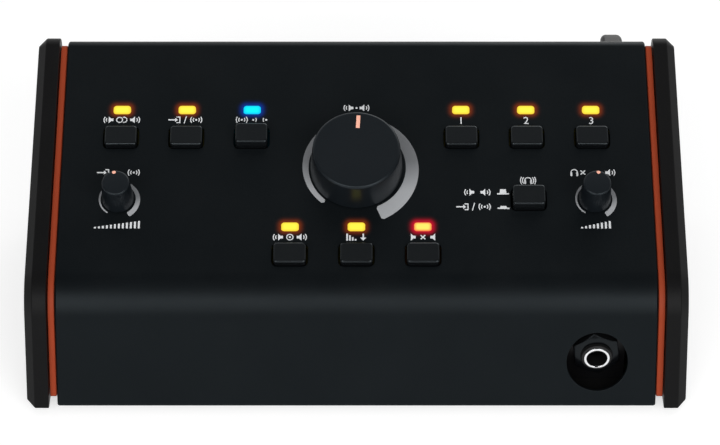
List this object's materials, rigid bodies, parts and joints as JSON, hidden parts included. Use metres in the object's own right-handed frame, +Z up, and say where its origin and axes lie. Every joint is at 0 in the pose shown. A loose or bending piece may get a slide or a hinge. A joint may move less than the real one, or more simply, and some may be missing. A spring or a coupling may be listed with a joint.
{
  "type": "studio monitor controller",
  "caption": "Desktop audio controller: sloping sheet-metal box between chamfered cheeks, with a large dial, two slim dials, latching push buttons, lit windows and a recessed headphone socket.",
  "frame": {"origin": "on the table, under the middle of the part's bounding box", "axes": "+X to the user's right, +Y to the rear wall with the sockets, +Z up; the front faces -Y"},
  "size_m": [0.2064, 0.111, 0.0738],
  "materials": {
    "black_sheet": "fine satin powder coat, near black",
    "black_plastic": "near black, lightly satin",
    "gloss_black": "near black, glossy",
    "orange_trim": "burnt orange, satin",
    "pointer_orange": "pale orange inlay",
    "rubber": "matt black",
    "board_green": "solder-masked laminate",
    "steel": "turned steel",
    "zinc": "zinc-plated sheet",
    "chrome": "bright plating",
    "lamp_yellow": "clear window, lit yellow",
    "lamp_blue": "clear window, lit cyan-blue",
    "lamp_red": "clear window, lit red",
    "cable_grey": "grey flat cable"
  },
  "bodies": {
    "console": {"aux_jack": "black_plastic", "base_plate": "black_sheet", "control_board": "board_green", "dc_inlet": "black_plastic", "foot_front_left": "rubber", "foot_front_right": "rubber", "foot_rear_left": "rubber", "foot_rear_right": "rubber", "housing_shell": "black_sheet", "left_cheek": "black_plastic", "left_trim_plate": "orange_trim", "lower_window_1": "lamp_yellow", "lower_window_2": "lamp_yellow", "lower_window_3": "lamp_red", "main_board": "board_green", "main_pot": "zinc", "phones_bracket": "zinc", "phones_jack": "black_plastic", "phones_jack_ferrule": "chrome", "phones_jack_nut": "gloss_black", "phones_pot": "zinc", "power_switch": "black_plastic", "rear_jack_1": "black_plastic", "rear_jack_2": "black_plastic", "rear_jack_3": "black_plastic", "rear_jack_4": "black_plastic", "rear_jack_5": "black_plastic", "rear_jack_6": "black_plastic", "rear_jack_7": "black_plastic", "rear_jack_8": "black_plastic", "ribbon_cable": "cable_grey", "right_cheek": "black_plastic", "right_trim_plate": "orange_trim", "upper_window_1": "lamp_yellow", "upper_window_2": "lamp_yellow", "upper_window_3": "lamp_blue", "upper_window_4": "lamp_yellow", "upper_window_5": "lamp_yellow", "upper_window_6": "lamp_yellow", "volume_pot": "zinc"},
    "main_dial": {"main_knob": "black_plastic", "main_pointer": "pointer_orange", "main_shaft": "steel"},
    "volume_dial": {"volume_knob": "black_plastic", "volume_shaft": "steel"},
    "phones_dial": {"phones_knob": "black_plastic", "phones_shaft": "steel"},
    "aux_button": {"button_aux": "black_plastic"},
    "dim_button": {"button_dim": "black_plastic"},
    "listen_button": {"button_listen": "black_plastic"},
    "mono_button": {"button_mono": "black_plastic"},
    "mute_button": {"button_mute": "black_plastic"},
    "pair_button": {"button_pair": "black_plastic"},
    "speaker_1_button": {"button_speaker_1": "black_plastic"},
    "speaker_2_button": {"button_speaker_2": "black_plastic"},
    "speaker_3_button": {"button_speaker_3": "black_plastic"},
    "stereo_button": {"button_stereo": "black_plastic"},
    "mains_button": {"power_button": "gloss_black"}
  },
  "joints": [
    {"name": "main_turn", "type": "hinge", "parent": "console", "child": "main_dial", "pos_m": [0, 0.00006, 0.05465], "axis": [0, -0.3955, 0.9184], "range_deg": [-147, 153]},
    {"name": "volume_turn", "type": "hinge", "parent": "console", "child": "volume_dial", "pos_m": [-0.075, -0.01023, 0.05022], "axis": [0, -0.3955, 0.9184], "range_deg": [-160, 140]},
    {"name": "phones_turn", "type": "hinge", "parent": "console", "child": "phones_dial", "pos_m": [0.075, -0.01023, 0.05022], "axis": [0, -0.3955, 0.9184], "range_deg": [-142, 158]},
    {"name": "aux_press", "type": "slide", "parent": "console", "child": "aux_button", "axis": [0, -0.3955, 0.9184], "range_m": [-0.0005, 0.0017]},
    {"name": "dim_press", "type": "slide", "parent": "console", "child": "dim_button", "axis": [0, -0.3955, 0.9184], "range_m": [-0.0005, 0.0017]},
    {"name": "listen_press", "type": "slide", "parent": "console", "child": "listen_button", "axis": [0, -0.3955, 0.9184], "range_m": [-0.0022, 0]},
    {"name": "mono_press", "type": "slide", "parent": "console", "child": "mono_button", "axis": [0, -0.3955, 0.9184], "range_m": [-0.0005, 0.0017]},
    {"name": "mute_press", "type": "slide", "parent": "console", "child": "mute_button", "axis": [0, -0.3955, 0.9184], "range_m": [-0.0005, 0.0017]},
    {"name": "pair_press", "type": "slide", "parent": "console", "child": "pair_button", "axis": [0, -0.3955, 0.9184], "range_m": [-0.0022, 0], "stiffness_N_per_m": 300, "springref_m": 0.0004},
    {"name": "speaker_1_press", "type": "slide", "parent": "console", "child": "speaker_1_button", "axis": [0, -0.3955, 0.9184], "range_m": [-0.0005, 0.0017]},
    {"name": "speaker_2_press", "type": "slide", "parent": "console", "child": "speaker_2_button", "axis": [0, -0.3955, 0.9184], "range_m": [-0.0005, 0.0017]},
    {"name": "speaker_3_press", "type": "slide", "parent": "console", "child": "speaker_3_button", "axis": [0, -0.3955, 0.9184], "range_m": [-0.0005, 0.0017]},
    {"name": "stereo_press", "type": "slide", "parent": "console", "child": "stereo_button", "axis": [0, -0.3955, 0.9184], "range_m": [-0.0005, 0.0017]},
    {"name": "mains_press", "type": "slide", "parent": "console", "child": "mains_button", "axis": [0, 1, 0], "range_m": [-0.0004, 0.0018]}
  ]
}
